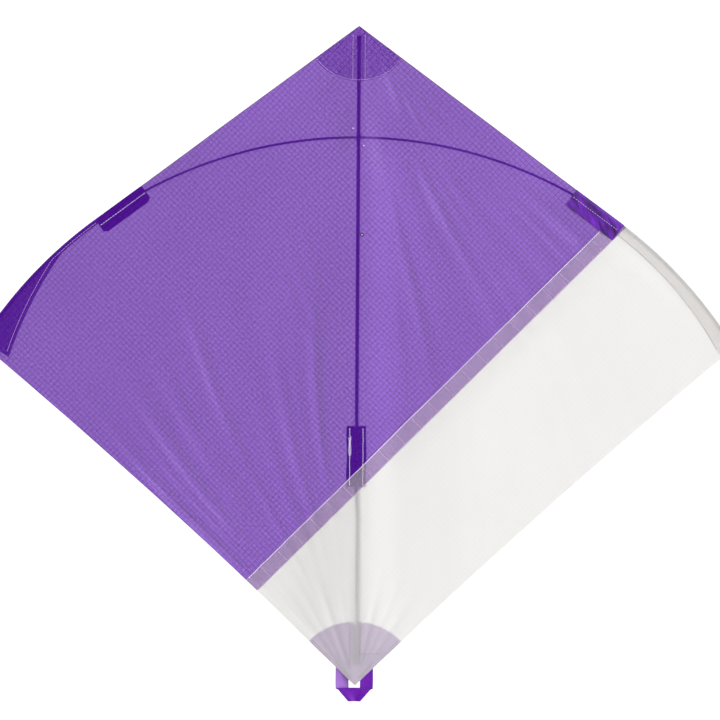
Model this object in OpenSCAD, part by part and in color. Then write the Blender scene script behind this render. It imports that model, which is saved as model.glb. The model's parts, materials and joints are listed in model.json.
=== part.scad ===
// Fighter kite: a flat diamond of lightweight sailcloth on a straight spine and a bent bow.
// The sail lies in the XZ plane, nose up, with its face towards -Y and its spars behind it.
// The origin is on the face of the sail, where the bow crosses the spine.

/* [Sail] */
// Height of the nose above the crossing of spine and bow
nose_z = 102; // [90:1:115]
// Depth of the tail point below the crossing
tail_drop = 505; // [480:5:530]
// Angle round the bow's circle at which the wing tips end, from the top
tip_angle = 58.3; // [57.8:0.1:59]
// Hollow of each trailing edge, at its middle
trailing_hollow = 4.5; // [2:0.5:8]
// Thickness of the sailcloth, with its coating
cloth = 0.2; // [0.15:0.05:0.25]
// Height at which the violet panel's seam crosses the spine, below the crossing
seam_drop = 308; // [300:1:315]
// Width of the lapped seam between the two panels
seam_w = 14.5; // [10:0.5:18]

/* [Spars] */
// Diameter of the spine
spine_d = 3.5; // [3:0.1:3.6]
// Diameter of the bow
bow_d = 2.2; // [1.8:0.1:2.4]
// Radius of the bow's curve, at its centreline
bow_r = 406; // [400:1:412]
// Angle round its circle at which the bow's rod ends
bow_end_angle = 56.6; // [56:0.1:57]
// Radius of the holes that the bridle passes through
bridle_hole_r = 0.9; // [0.7:0.1:1.1]

/* [Reinforcement] */
// Thickness of the reinforcing cloth
patch = 0.3; // [0.2:0.05:0.35]
// Reach of the nose patch from the nose
nose_patch_r = 50.5; // [45:0.5:52]
// Reach of the tail patch from the tail
tail_patch_r = 59; // [50:0.5:60]
// Width of the sleeve that holds the spine's middle
sleeve_w = 18; // [16:0.5:20]
// Length of that sleeve
sleeve_l = 56; // [50:1:60]
// Length of each bow pocket along the leading edge
pocket_l = 53; // [48:1:56]
// Width of each bow pocket, from the leading edge in
pocket_w = 15.5; // [14:0.5:18]
// Width of the ribbon of the tail loop
ribbon_w = 12; // [10:0.5:12.5]
// Width of the eye of the tail loop
eye_w = 10; // [9:0.5:11]

/* [Hidden] */

VIOLET = [0.50, 0.36, 0.74];
DEEP_VIOLET = [0.30, 0.07, 0.57];
WHITE = [0.93, 0.93, 0.92];
ROD = [0.10, 0.10, 0.11];
CAP = [0.05, 0.05, 0.05];
THREAD = [0.88, 0.84, 0.86];

$fn = 96;
FAR = 900;          // larger than the kite, for the shapes that cut it
GAP = 0.15;         // half of the gap between a wing and the middle of the kite
WALL_GAP = 0.1;     // between a sleeve's wall and the cloth or rod inside it

// Where the cloth layers lie, from the face (negative) to the back
violet_y = 0;                                   // face of the violet panel
white_y = -cloth;                               // face of the white panel, lapped over the violet
back_y = cloth;                                 // back of the violet panel
cap_wall = 0.35;                                // of the vinyl caps on the spine
spine_y = back_y + WALL_GAP / 2 + cap_wall + spine_d / 2;
bow_y = spine_y + spine_d / 2 + WALL_GAP + bow_d / 2;
bow_cap_wall = 0.5;
bow_tip_y = back_y + WALL_GAP + bow_cap_wall + bow_d / 2;

// The bow's circle, and the sail's edge outside it
edge_r = bow_r + bow_d / 2 + 0.9;
circle_z = -bow_r;                              // centre of both circles
tail_z = -tail_drop;
touch_angle = acos(edge_r / (nose_z + bow_r));  // where the straight leading edge meets the circle
touch = [edge_r * sin(touch_angle), circle_z + edge_r * cos(touch_angle)];
tip = [edge_r * sin(tip_angle), circle_z + edge_r * cos(tip_angle)];
bow_tilt = atan((bow_y - bow_tip_y) / (bow_r * (1 - cos(bow_end_angle))));

// The wings bend back about upright lines behind the bow, at this distance from the spine
hinge_x = 46;
hinge_angle = asin(hinge_x / bow_r);

// The spine, and the tunnels of cloth round it
spine_top = nose_z - 9;
spine_bottom = tail_z + 22;
cap_l = 12;
tunnel_w = 11;                                  // between the rows of stitches beside the spine
tail_tunnel_w = 8.4;                            // and at the tail, between the limbs of the loop
tail_tunnel_z = tail_z + 19.5;                  // where the tail patch closes under the spine
tunnel_top = spine_y + spine_d / 2 + cap_wall + WALL_GAP;
sleeve_top = -266;
seam_x0 = -94;                                  // where the seam's stitches begin, at the left
seam_x1 = 222;                                  // and end, at the right

// The folded sleeve along each wing's edge
hem_w = 14;
hem_y = bow_y - tan(bow_tilt) * bow_r * (1 - cos(touch_angle)) + bow_d / 2 + 3 * WALL_GAP;
pocket_y = hem_y + 0.55;
seat_w = 9;                                     // from the edge to the row of stitches
pocket_end = 1;                                 // of the pocket, short of the curved edge

// The tail loop
loop_x = -0.5;                                  // middle of the eye
loop_hinge_z = tail_z + 18;                     // the ribbon is sewn down above this height
loop_top_z = tail_z + 30;
loop_bottom_z = tail_z - 14.5;
loop_y = 2 * patch;

// Stitches
stitch = [1.7, 0.35, 0.1];                      // length, width, height over the cloth
stitch_pitch = 2.6;

// ---- outlines, drawn with the kite's X to the right and its Z up the page ----

// Points of an arc of radius r about the bow's centre, between two angles from the top
function edge_arc(r, a0, a1, n) =
    [for (i = [0:n]) let (a = a0 + (a1 - a0) * i / n) [r * sin(a), circle_z + r * cos(a)]];

// Points between p and q on a curve that bends in by the given hollow
function hollow_edge(p, q, hollow, n) =
    let (d = q - p, side = [-d[1], d[0]] / norm(d))
    [for (i = [1:n - 1]) let (t = i / n) p + d * t - side * hollow * 4 * t * (1 - t)];

wing_outline = concat(
    edge_arc(edge_r, touch_angle, tip_angle, 12),
    hollow_edge(tip, [0, tail_z], trailing_hollow, 10)
);

module whole_outline() polygon(concat(
    [[0, nose_z]], wing_outline, [[0, tail_z]],
    [for (i = [len(wing_outline) - 1:-1:0]) [-wing_outline[i][0], wing_outline[i][1]]]
));

// Everything up and left of a 45 degree line that crosses the spine at height z
module above_seam(z) {
    translate([0, z]) rotate(45) translate([-FAR, 0]) square([2 * FAR, FAR]);
}

// Everything down and right of that line
module below_seam(z) {
    translate([0, z]) rotate(45) translate([-FAR, -FAR]) square([2 * FAR, FAR]);
}

violet_edge_z = -seam_drop - seam_w * sqrt(2);

module violet_outline() intersection() { whole_outline(); above_seam(violet_edge_z); }
module white_outline() intersection() { whole_outline(); below_seam(-seam_drop); }

// The middle strip of the kite, or one wing (side is -1 or 1)
module middle_strip() translate([-hinge_x + GAP, -FAR]) square([2 * (hinge_x - GAP), 2 * FAR]);
module wing_strip(side) scale([side, 1]) translate([hinge_x + GAP, -FAR]) square([FAR, 2 * FAR]);

// ---- placing flat and round shapes ----

// Lays a flat outline behind the plane y, as a sheet of the given thickness
module sheet(y, thick) translate([0, y + thick, 0]) rotate([90, 0, 0]) linear_extrude(thick) children();

// Turns the drawing on the XY plane about the bow's centre, upright behind the sail
module bow_plane() translate([0, bow_y, 0]) rotate([-bow_tilt, 0, 0]) translate([0, 0, circle_z])
    rotate([90, 0, 0]) children();

// A round rod along the bow between two angles from the top, towards +X
module bow_rod(d, a0, a1) bow_plane() rotate(90 - a1) rotate_extrude(angle = a1 - a0)
    translate([bow_r, 0]) circle(d = d, $fn = 48);

// Puts children at the point where the leading edge meets its circle: X runs along the edge
// to the wing tip, Y runs in from the edge, and Z runs from the face to the back
module edge_frame() translate([touch[0], 0, touch[1]]) rotate([-90, touch_angle, 0]) children();

// The same point's neighbours, as X and Z: some way along the edge and some way in from it
function edge_point(along, depth) = touch
    + along * [cos(touch_angle), -sin(touch_angle)] - depth * [sin(touch_angle), cos(touch_angle)];

module side_of(side) mirror([side < 0 ? 1 : 0, 0, 0]) children();

// ---- spars ----

module spine() color(ROD) translate([0, spine_y, spine_bottom])
    cylinder(d = spine_d, h = spine_top - spine_bottom);

// A vinyl cap, open below, over the top end of a rod
module vinyl_cap(rod_d, wall, length) difference() {
    cylinder(d = rod_d + 2 * wall, h = length);
    translate([0, 0, -1]) cylinder(d = rod_d, h = length - wall + 1);
}

module spine_nose_cap() color(CAP) translate([0, spine_y, spine_top - cap_l + cap_wall])
    vinyl_cap(spine_d, cap_wall, cap_l);

module spine_tail_cap() color(CAP) translate([0, spine_y, spine_bottom + cap_l - cap_wall])
    mirror([0, 0, 1]) vinyl_cap(spine_d, cap_wall, cap_l);

module bow_centre() color(ROD) bow_rod(bow_d, -hinge_angle, hinge_angle);

module bow_limb(side) color(ROD) side_of(side) bow_rod(bow_d, hinge_angle + 0.05, bow_end_angle);

// The cap on the bow's end is a short curved tube with a closed end
bow_cap_angle = 1.5;
module bow_cap(side) color(CAP) side_of(side) union() {
    difference() {
        bow_rod(bow_d + 2 * bow_cap_wall, bow_end_angle - bow_cap_angle, bow_end_angle);
        bow_rod(bow_d, bow_end_angle - 2 * bow_cap_angle, bow_end_angle + 1);
    }
    bow_plane() rotate(90 - bow_end_angle) translate([bow_r, 0, 0]) rotate([90, 0, 0])
        cylinder(d = bow_d + 2 * bow_cap_wall, h = bow_cap_wall);
}

// Two crossed bands of thread bind the bow to the back of the spine
module bow_lashing() {
    band_w = 1.6;
    slack = 0.08;
    front = spine_y - spine_d / 2 - 0.02;           // inside of each band, before the spine
    middle = spine_y + spine_d / 2 + 0.1;           // beside the place where the rods meet
    back = bow_y + bow_d / 2 + 0.15;                // behind the bow
    wall = front - back_y - 0.05;
    // Half of a rod's width, as a band cuts it at 45 degrees
    function half_cut(d) = (d / 2 + band_w / 2 * sin(45)) / cos(45) + slack;
    spine_half = half_cut(spine_d);
    bow_half = half_cut(bow_d);
    function ring(grow) = [
        [-spine_half - grow, front - grow], [spine_half + grow, front - grow],
        [spine_half + grow, middle + grow / 2], [bow_half + grow, back + grow],
        [-bow_half - grow, back + grow], [-spine_half - grow, middle + grow / 2]
    ];
    color(THREAD) for (turn = [45, -45])
        rotate([0, turn, 0]) translate([0, 0, -band_w / 2]) linear_extrude(band_w) difference() {
            polygon(ring(wall));
            polygon(ring(0));
        }
}

// ---- sail ----

upper_hole = [5, 8];
lower_hole = [3.9, -90];

module violet_sail_centre() color(VIOLET) difference() {
    sheet(violet_y, cloth) intersection() { violet_outline(); middle_strip(); }
    for (hole = [[-upper_hole[0], upper_hole[1]], [upper_hole[0], -upper_hole[1]], lower_hole])
        translate([hole[0], cloth + 1, hole[1]]) rotate([90, 0, 0])
            cylinder(r = bridle_hole_r, h = cloth + 2, $fn = 32);
}

module white_sail_centre() color(WHITE) sheet(white_y, cloth)
    intersection() { white_outline(); middle_strip(); }

module violet_sail_wing(side) color(VIOLET) sheet(violet_y, cloth)
    intersection() { violet_outline(); wing_strip(side); }

module white_sail_wing(side) color(WHITE) sheet(white_y, cloth)
    intersection() { white_outline(); wing_strip(side); }

// ---- patches and sleeves on the back ----

// Cloth over the spine: flat flanges on the sail and a tunnel between two rows of stitches
module tunnel_profile(y, width, tunnel) {
    half = tunnel / 2;
    crown = spine_d / 2 + cap_wall + WALL_GAP;
    polygon([
        [-width / 2, y], [-half, y], [-crown, tunnel_top], [crown, tunnel_top], [half, y], [width / 2, y],
        [width / 2, y + patch], [half, y + patch], [crown, tunnel_top + patch],
        [-crown, tunnel_top + patch], [-half, y + patch], [-width / 2, y + patch]
    ]);
}

// A tunnelled patch, cut to an outline
module tunnel_patch(y, z0, z1, width, tunnel) intersection() {
    translate([0, 0, z0]) linear_extrude(z1 - z0) tunnel_profile(y, width, tunnel);
    sheet(-1, 20) children();
}

module nose_patch() color(VIOLET)
    tunnel_patch(back_y, nose_z - 60, nose_z - 4, 2 * nose_patch_r, tunnel_w)
        intersection() {
            whole_outline();
            translate([0, nose_z]) circle(nose_patch_r);
        }

module spine_sleeve() color(DEEP_VIOLET)
    tunnel_patch(back_y, sleeve_top - sleeve_l, sleeve_top, sleeve_w, tunnel_w)
        square(2 * FAR, center = true);

module tail_sector() intersection() {
    whole_outline();
    translate([0, tail_z]) circle(tail_patch_r);
}

// A tunnel above, and flat below, where the patch closes under the spine
module tail_patch() color(VIOLET) union() {
    tunnel_patch(0, tail_tunnel_z, tail_z + 70, 2 * tail_patch_r, tail_tunnel_w) tail_sector();
    sheet(0, patch) intersection() {
        tail_sector();
        translate([-FAR, tail_tunnel_z - FAR]) square([2 * FAR, FAR]);
    }
}

// Section of cloth folded round the leading edge: x runs in from the edge and y to the back
module pocket_profile() {
    face = white_y - WALL_GAP / 2;
    edge = -WALL_GAP;
    polygon([
        [pocket_w, face - patch], [edge - patch, face - patch], [edge - patch, pocket_y + patch],
        [seat_w - 2, pocket_y + patch], [seat_w + 0.3, back_y + patch], [pocket_w, back_y + patch],
        [pocket_w, back_y], [seat_w, back_y], [seat_w - 2.3, pocket_y], [edge, pocket_y],
        [edge, face], [pocket_w, face]
    ]);
}

module bow_pocket(side) color(DEEP_VIOLET) side_of(side) edge_frame()
    translate([-pocket_l - pocket_end, 0, 0]) rotate([90, 0, 90]) linear_extrude(pocket_l) pocket_profile();

// Section of the edge sleeve: x is the distance from the bow's centre, y runs to the face
module hem_profile(y) {
    outer = edge_r + WALL_GAP;
    polygon([
        [outer + patch, -y], [outer, -y], [outer, -hem_y], [outer - seat_w + 0.7, -hem_y],
        [outer - seat_w - 2.3, -y], [outer - hem_w, -y], [outer - hem_w, -y - patch],
        [outer - seat_w - 2.5, -y - patch], [outer - seat_w + 0.5, -hem_y - patch],
        [outer + patch, -hem_y - patch]
    ]);
}

hem_start = touch_angle + 0.6;
hem_end = tip_angle - 0.8;
module edge_sleeve(side, y, shade) color(shade) side_of(side) translate([0, 0, circle_z])
    rotate([90, 0, 0]) rotate(90 - hem_end) rotate_extrude(angle = hem_end - hem_start)
        hem_profile(y);

// ---- stitches, as rows of short threads on the face ----

module one_stitch(length = stitch[0]) translate([-length / 2, -stitch[2], -stitch[1] / 2])
    cube([length, stitch[2], stitch[1]]);

// A row from p to q (X and Z) on the face at depth y
module stitch_row(p, q, y) {
    d = q - p;
    count = floor(norm(d) / stitch_pitch);
    for (i = [0:count - 1]) let (at = p + d * (i + 0.5) / count)
        translate([at[0], y, at[1]]) rotate([0, -atan2(d[1], d[0]), 0]) one_stitch();
}

// A row round a centre between two angles from the top
module stitch_arc(centre, r, a0, a1, y) {
    count = floor(abs(a1 - a0) * PI / 180 * r / stitch_pitch);
    for (i = [0:count - 1]) let (a = a0 + (a1 - a0) * (i + 0.5) / count)
        translate([centre[0] + r * sin(a), y, centre[1] + r * cos(a)]) rotate([0, a, 0]) one_stitch();
}

leading_angle = 90 + touch_angle;  // of the leading edge, from the top, seen from the nose
module nose_stitching() color(THREAD) {
    inset = nose_patch_r - 1;
    for (x = [-1, 1] * tunnel_w / 2) stitch_row([x, nose_z - 8], [x, nose_z - inset + 1], violet_y);
    for (side = [-1, 1])
        stitch_arc([0, nose_z], inset, side * 172, side * (leading_angle + 2), violet_y);
}

module sleeve_stitching() color(THREAD) for (x = [-6, 6])
    stitch_row([x, sleeve_top - 2], [x, x - seam_drop + 2], violet_y);

module tail_stitching() color(THREAD) for (x = [-1, 1] * tail_tunnel_w / 2)
    stitch_row([x, tail_z + tail_patch_r - 3], [x, tail_tunnel_z], white_y);

// Rows that close the edge sleeve behind the sail, and the pocket that wraps it
module edge_stitching(side, y) color(THREAD) side_of(side) {
    pocket_face = white_y - WALL_GAP / 2 - patch;
    stitch_arc([0, circle_z], edge_r - hem_w + 1.5, hem_start + 0.5, hem_end - 0.5, y);
    stitch_row(
        edge_point(1 - pocket_l - pocket_end, pocket_w - 1.2),
        edge_point(-1 - pocket_end, pocket_w - 1.2), pocket_face
    );
}

// A long thread along the lapped seam, between two values of X, some way across it
module seam_thread(x0, x1, across) {
    shift = across / sqrt(2) * [1, -1];
    p = [x0, x0 - seam_drop] + shift;
    translate([p[0], white_y, p[1]]) rotate([0, -45, 0]) translate([0, -stitch[2], -stitch[1] / 2])
        cube([(x1 - x0) * sqrt(2), stitch[2], stitch[1]]);
}

// Two rows of thread along the seam, and short tacks across it
module seam_stitching(x0, x1) color(THREAD) {
    tack_pitch = 15;
    tack_l = 4;
    across = [1, -1] * seam_w / 2 / sqrt(2);
    for (row = [1, seam_w - 1]) seam_thread(x0, x1, row);
    for (x = [x0 + tack_pitch / 4:tack_pitch:x1 - tack_pitch / 2])
        let (at = [x, x - seam_drop] + across)
            translate([at[0], white_y, at[1]]) rotate([0, 45, 0]) one_stitch(tack_l);
}

// ---- tail loop: a ribbon folded twice at 45 degrees ----

reach = eye_w / 2 + ribbon_w;

module limbs(y, thick, z0, z1) for (x = [-reach, eye_w / 2])
    sheet(y, thick) translate([loop_x + x, z0]) square([ribbon_w, z1 - z0]);

// The ribbon's ends, turned under and sewn to the tail patch
module tail_loop_tabs() color(DEEP_VIOLET)
    limbs(patch, loop_y, loop_hinge_z + 2 * GAP, loop_top_z);

module tail_loop() color(DEEP_VIOLET) {
    fold_z = loop_bottom_z + ribbon_w;
    cut = ribbon_w - 1;
    limbs(loop_y, patch, fold_z, loop_hinge_z);
    sheet(loop_y, 2 * patch) translate([loop_x, 0]) polygon([
        [-reach, fold_z], [-reach + cut, loop_bottom_z], [reach - cut, loop_bottom_z], [reach, fold_z]
    ]);
}

// ---- nodes ----

spine();
spine_nose_cap();
spine_tail_cap();
bow_centre();
bow_lashing();
violet_sail_centre();
white_sail_centre();
nose_patch();
spine_sleeve();
tail_patch();
nose_stitching();
sleeve_stitching();
tail_stitching();
seam_stitching(GAP - hinge_x, hinge_x - GAP - seam_w);  // seam_stitching_centre
violet_sail_wing(-1);  // violet_sail_left
white_sail_wing(-1);  // white_sail_left
bow_limb(-1);  // bow_left
bow_cap(-1);  // bow_cap_left
edge_sleeve(-1, back_y, VIOLET);  // edge_sleeve_left
bow_pocket(-1);  // bow_pocket_left
edge_stitching(-1, violet_y);  // edge_stitching_left
seam_stitching(seam_x0, -hinge_x - seam_w);  // seam_stitching_left
violet_sail_wing(1);  // violet_sail_right
white_sail_wing(1);  // white_sail_right
bow_limb(1);  // bow_right
bow_cap(1);  // bow_cap_right
edge_sleeve(1, 0, WHITE);  // edge_sleeve_right
bow_pocket(1);  // bow_pocket_right
edge_stitching(1, white_y);  // edge_stitching_right
seam_stitching(hinge_x + GAP, seam_x1);  // seam_stitching_right
tail_loop_tabs();
tail_loop();
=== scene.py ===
import json

import bmesh
import bpy
import numpy as np
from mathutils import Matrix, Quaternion, Vector


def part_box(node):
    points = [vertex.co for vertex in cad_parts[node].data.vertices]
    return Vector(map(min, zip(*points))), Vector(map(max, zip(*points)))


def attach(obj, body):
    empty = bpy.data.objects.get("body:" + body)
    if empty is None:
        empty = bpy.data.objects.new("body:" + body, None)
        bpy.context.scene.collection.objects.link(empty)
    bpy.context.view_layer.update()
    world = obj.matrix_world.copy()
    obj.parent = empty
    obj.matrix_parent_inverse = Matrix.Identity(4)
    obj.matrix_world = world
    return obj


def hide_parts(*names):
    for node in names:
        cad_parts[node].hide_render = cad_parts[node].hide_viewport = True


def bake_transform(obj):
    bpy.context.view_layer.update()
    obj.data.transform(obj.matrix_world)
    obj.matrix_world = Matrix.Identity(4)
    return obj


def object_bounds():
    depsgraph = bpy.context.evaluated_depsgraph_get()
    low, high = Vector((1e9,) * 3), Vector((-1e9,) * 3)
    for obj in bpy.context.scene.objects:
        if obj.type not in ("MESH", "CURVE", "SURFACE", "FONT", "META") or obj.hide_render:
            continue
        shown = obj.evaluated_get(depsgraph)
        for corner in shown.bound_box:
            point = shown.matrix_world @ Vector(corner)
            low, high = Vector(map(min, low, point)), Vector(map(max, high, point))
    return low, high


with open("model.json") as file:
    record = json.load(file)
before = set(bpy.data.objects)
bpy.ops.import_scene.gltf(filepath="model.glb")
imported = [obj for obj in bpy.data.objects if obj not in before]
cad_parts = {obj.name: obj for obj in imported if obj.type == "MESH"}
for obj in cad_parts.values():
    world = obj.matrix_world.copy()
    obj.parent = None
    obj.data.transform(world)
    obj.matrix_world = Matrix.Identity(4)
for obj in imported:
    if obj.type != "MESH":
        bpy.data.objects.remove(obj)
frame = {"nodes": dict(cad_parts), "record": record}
cadBox = [list(corner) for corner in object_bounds()]
print("frame loaded:", len(frame["nodes"]), "nodes")

mm = 0.001
spineLow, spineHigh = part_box("spine")
spineY = (spineLow.y + spineHigh.y) / 2
spineR = (spineHigh.x - spineLow.x) / 2
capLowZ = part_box("spine_nose_cap")[0].z
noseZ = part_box("violet_sail_centre")[1].z
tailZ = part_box("white_sail_centre")[0].z
tipX = -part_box("violet_sail_left")[0].x

# The cut of the sail and the bend of the bow. Lengths are in metres all through the script
sailCut = {
    "bowRadius": 0.406, "edgeRadius": 0.408, "trailingHollow": 0.0045,
    "seamDrop": 0.308, "seamWidth": 0.0145, "clothThickness": 0.00014,
}
bowBend = sailCut["bowRadius"]
circleZ = -bowBend
edgeR = sailCut["edgeRadius"]
touchAngle = np.arccos(edgeR / (noseZ - circleZ))            # where the straight edge meets the arc
straightLength = np.sqrt((noseZ - circleZ) ** 2 - edgeR ** 2)
tipAngle = np.arcsin(tipX / edgeR)
tipZ = circleZ + edgeR * np.cos(tipAngle)
whiteEdge = -sailCut["seamDrop"]                             # z where each panel's edge crosses x = 0
violetEdge = whiteEdge - sailCut["seamWidth"] * np.sqrt(2)

bow = {"thickness": 0.0022, "endAngle": np.radians(56.6), "sides": 20, "steps": 150}
bowR = bow["thickness"] / 2
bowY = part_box("bow_centre")[1].y - bowR
bowCapLow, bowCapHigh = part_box("bow_cap_right")
bowTipY = (bowCapLow.y + bowCapHigh.y) / 2
bowTilt = (bowY - bowTipY) / (bowBend * (1 - np.cos(bow["endAngle"])))


def smooth(t):
    # 3t^2 - 2t^3 between 0 and 1, flat outside
    t = np.clip(t, 0, 1)
    return t * t * (3 - 2 * t)


def rise(value, start, length):
    # 0 up to the start, 1 past start + length, and smooth between them
    return smooth((value - start) / length)


def fall(value, start, length):
    # 1 up to the start, 0 past start + length
    return 1 - rise(value, start, length)


def gridQuads(rows, columns):
    # corners (i, j), (i+1, j), (i+1, j+1), (i, j+1) of every cell of a rows x columns grid
    i, j = np.meshgrid(np.arange(rows - 1), np.arange(columns - 1), indexing="ij")
    first = i * columns + j
    return np.stack([first, first + columns, first + columns + 1, first + 1], -1).reshape(-1, 4)


def makeMesh(name, points, faces, material, uv=None, flatCaps=False):
    # a smooth-shaded piece, on which faces of more than four corners may be flat
    faces = faces.tolist() if isinstance(faces, np.ndarray) else faces
    mesh = bpy.data.meshes.new(name)
    mesh.from_pydata(np.asarray(points, float).reshape(-1, 3).tolist(), [], faces)
    if uv is not None:
        layer = mesh.uv_layers.new(name="cut")
        corners = np.zeros(len(mesh.loops), np.int32)
        mesh.loops.foreach_get("vertex_index", corners)
        layer.data.foreach_set("uv", np.asarray(uv, np.float32).reshape(-1, 2)[corners].ravel())
    mesh.polygons.foreach_set("use_smooth", [len(face) <= 4 or not flatCaps for face in faces])
    mesh.validate()
    mesh.update()
    piece = bpy.data.objects.new(name, mesh)
    bpy.context.scene.collection.objects.link(piece)
    mesh.materials.append(material)
    return piece


def mergeDoubles(piece, distance):
    work = bmesh.new()
    work.from_mesh(piece.data)
    bmesh.ops.remove_doubles(work, verts=work.verts, dist=distance)
    bmesh.ops.dissolve_degenerate(work, edges=work.edges, dist=distance)
    bmesh.ops.recalc_face_normals(work, faces=work.faces)
    work.to_mesh(piece.data)
    work.free()
    return piece


def thicken(piece, thickness):
    # a wall of the given thickness about the surface, with a crisp rim: the sharp edges are those with one face
    mesh = piece.data
    used = np.zeros(len(mesh.loops), np.int32)
    mesh.loops.foreach_get("edge_index", used)
    mesh.edges.foreach_set("use_edge_sharp", np.bincount(used, minlength=len(mesh.edges)) == 1)
    wall = piece.modifiers.new("thickness", "SOLIDIFY")
    wall.thickness = thickness
    wall.offset = 0
    return piece


def place(piece, body, nodes=()):
    # the CAD nodes that the piece stands for, and the body that it moves with
    if nodes:
        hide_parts(*nodes)
    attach(piece, body)
    return piece


# The shape of the sail. A fold's wave is (share, waves per radian, start, sharpness), and a pair is the start
# and the length of a rise or a fall
noseFan = {
    "height": 0.00120, "centreX": 0.010, "sway": 0.035, "swayLength": 0.08, "swayStart": 0.5,
    "broad": (1, 51, 0.6, 1.5), "middle": (0.7, 83, 2.1, 1.6), "fine": (0.35, 131, -0.6, 1.2), "drift": 0.05,
    "fineGrow": (0.10, 0.08), "wander": 0.25, "wanderLength": 0.037, "wanderTurns": 9,
    "grow": (0.015, 0.09), "offSpine": (0.006, 0.05),
    "creaseHeight": 0.00070, "creases": ((1, 19, 0.2, 2.5), (0.6, 31, 1.7, 2.0)), "leftShare": 0.45,
    "creaseGrow": (0.004, 0.02), "creaseFade": (0.05, 0.06),
}
tailFan = {
    "height": 0.00180, "sway": 0.02, "swayLength": 0.06, "swayStart": 1.0,
    "waves": ((1, 59, 0.4, 1.8), (0.55, 97, 2.3, 1.5)), "wander": 0.3, "wanderLength": 0.045, "wanderTurns": 13,
    "grow": (0.07, 0.13), "fade": (0.29, 0.15), "leftOnly": (0.02, 0.12),
    "whiteShare": 0.30, "overSeam": (-0.03, 0.05),
    "creaseHeight": 0.00040, "creases": ((1, 21, 0.4, 2.5), (0.7, 34, 2.7, 2.0)),
    "creaseGrow": (0.004, 0.02), "creaseFade": (0.06, 0.07),
}
creaseGap = (0, 0.006)                                       # no crease lies right on the spine
wrinkles = {
    "height": 0.00042, "slantX": 0.93, "slantZ": 0.36, "pitch": 0.0022, "bend": 1.5, "bendLength": 0.03,
    "x": -0.048, "z": -0.135, "halfWidth": 0.034, "halfHeight": 0.085,
}
pucker = {"height": 0.00016, "pitch": 0.0035, "bend": 2, "bendLength": 0.021, "halfWidth": 0.013}
billow = {
    "height": 0.000315, "whiteShare": 0.35, "offSpine": (0.01, 0.06),
    "waves": ((1, 0.031, 0.043, 1.0), (0.8, 0.052, -0.027, 2.2), (0.5, 0.017, 0.021, -0.7),
              (0.35, -0.011, 0.016, 0.3)),                   # share, length along X, length along Z, start
}
whiteFolds = {"share": 0.10, "overSeam": (-0.018, 0.03)}     # the white cloth is tauter


def leadingZ(x):
    # straight from the nose, then the arc of the edge circle
    x = np.abs(x)
    straight = noseZ - x * np.tan(touchAngle)
    arc = circleZ + np.sqrt(np.maximum(edgeR ** 2 - x ** 2, 0))
    return np.where(x < edgeR * np.sin(touchAngle), straight, arc)


def trailingZ(x):
    # straight from tip to tail, less a parabola of the given hollow
    t = np.clip(np.abs(x) / tipX, 0, 1)
    slope = np.hypot(tipX, tipZ - tailZ) / tipX
    return tailZ + (tipZ - tailZ) * t + sailCut["trailingHollow"] * slope * 4 * t * (1 - t)


def edgeDepth(x, z):
    # distance in from the leading edge, and the angle round the bow's circle
    x = np.abs(x)
    angle = np.arctan2(x, z - circleZ)
    straight = (noseZ - z) * np.cos(touchAngle) - x * np.sin(touchAngle)
    return np.where(angle > touchAngle, edgeR - np.hypot(x, z - circleZ), straight), angle


def edgePoint(side, along, depth):
    # X and Z of a point some way along the leading edge from the nose, and some way in from it
    past = np.maximum(along - straightLength, 0)
    angle = touchAngle + past / edgeR
    before = np.minimum(along, straightLength)
    straightX = before * np.cos(touchAngle)
    straightZ = noseZ - before * np.sin(touchAngle)
    x = np.where(past > 0, edgeR * np.sin(angle), straightX) - depth * np.sin(angle)
    z = np.where(past > 0, circleZ + edgeR * np.cos(angle), straightZ) - depth * np.cos(angle)
    return side * x, z


def bowDepthY(angle):
    # how far behind the face the bow's centreline lies, at an angle from the top
    return bowY - bowTilt * bowBend * (1 - np.cos(angle))


def ridge(turn, wave, shift=0):
    # narrow crests and wide hollows: share e^(k (sin(n t + start + shift) - 1))
    share, count, start, sharp = wave
    return share * np.exp(sharp * (np.sin(count * turn + start + shift) - 1))


def softMin(a, b, radius):
    # the lower of two heights, rounded where they cross
    return 0.5 * (a + b - np.sqrt((a - b) ** 2 + radius ** 2))


def noseFolds(x, z):
    # crests round the nose: a fan over the right side, and creases on the patch
    f = noseFan
    reach = np.hypot(x, z - noseZ)
    sway = f["sway"] * np.sin(reach / f["swayLength"] + f["swayStart"])
    turn = np.arctan2(x - f["centreX"], noseZ - z) + sway
    fan = (ridge(turn, f["broad"]) + ridge(turn, f["middle"], np.sin(reach / f["drift"]))
           + ridge(turn, f["fine"]) * rise(reach, *f["fineGrow"]))
    fan = fan * (1 - f["wander"] + f["wander"] * np.sin(reach / f["wanderLength"] + f["wanderTurns"] * turn))
    fan = f["height"] * fan * rise(reach, *f["grow"]) * rise(x, *f["offSpine"])
    creases = sum(ridge(turn, wave) for wave in f["creases"]) * np.where(x > 0, 1.0, f["leftShare"])
    creases = creases * rise(reach, *f["creaseGrow"]) * fall(reach, *f["creaseFade"])
    return fan, f["creaseHeight"] * creases * rise(np.abs(x), *creaseGap)


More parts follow.
